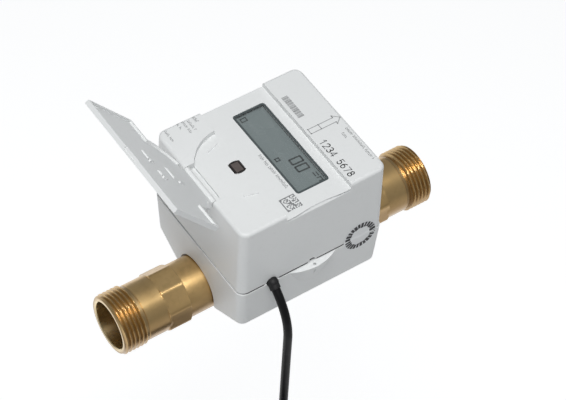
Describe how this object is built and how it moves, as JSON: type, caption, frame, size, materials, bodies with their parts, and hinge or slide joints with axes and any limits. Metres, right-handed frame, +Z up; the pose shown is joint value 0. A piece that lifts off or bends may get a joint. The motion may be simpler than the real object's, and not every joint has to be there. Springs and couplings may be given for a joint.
{
  "type": "ultrasonic water meter",
  "caption": "Inline ultrasonic water meter with a threaded brass flow tube, a grey plastic case, a flip-up display lid and a short signal cable tied in a coil.",
  "frame": {"origin": "on the flow axis, half way between the two sealing faces", "axes": "+X along the flow, +Z up towards the display, +Y to the side away from the cable"},
  "size_m": [0.19, 0.114, 0.2702],
  "materials": {
    "brass": "cast and turned, lightly tarnished",
    "case_plastic": "fine moulded texture, light grey",
    "black_rubber": "matte",
    "steel": "bright",
    "transducer_plastic": "matte",
    "lead_plastic": "insulated wire",
    "board": "solder resist",
    "dark_plastic": "matte",
    "optical_glass": "infrared filter, glossy",
    "clear_window": "clear",
    "lcd": "grey-green liquid crystal glass",
    "cell_jacket": "shrink sleeve",
    "cable_jacket": "smooth jacket"
  },
  "bodies": {
    "root": {"flow_tube": "brass", "base_shell": "case_plastic", "upper_shell": "case_plastic", "case_gasket": "black_rubber", "saddle_gasket": "black_rubber", "clamp_plate": "steel", "clamp_screws": "steel", "transducer_inlet": "transducer_plastic", "transducer_outlet": "transducer_plastic", "transducer_seals": "black_rubber", "transducer_leads": "lead_plastic", "circuit_board": "board", "board_chips": "dark_plastic", "board_screws": "steel", "optical_pair": "dark_plastic", "optical_window": "optical_glass", "display_window": "clear_window", "lcd_panel": "lcd", "lcd_holder": "case_plastic", "battery_cell_near": "cell_jacket", "battery_cell_far": "cell_jacket", "battery_cradle_near": "dark_plastic", "battery_cradle_far": "dark_plastic", "battery_leads": "lead_plastic", "case_screws": "steel", "hinge_pin": "steel", "cable_grommet": "black_rubber", "inner_lead": "cable_jacket", "signal_cable": "cable_jacket", "cable_coil": "cable_jacket", "cable_tie": "dark_plastic", "cable_tail": "cable_jacket", "wire_ends": "lead_plastic"},
    "display_lid": {"lid": "case_plastic"}
  },
  "joints": [
    {"name": "lid_hinge", "type": "hinge", "parent": "root", "child": "display_lid", "pos_m": [-0.0413, 0, 0.0761], "axis": [0, 1, 0], "range_deg": [0, 128.8]}
  ]
}
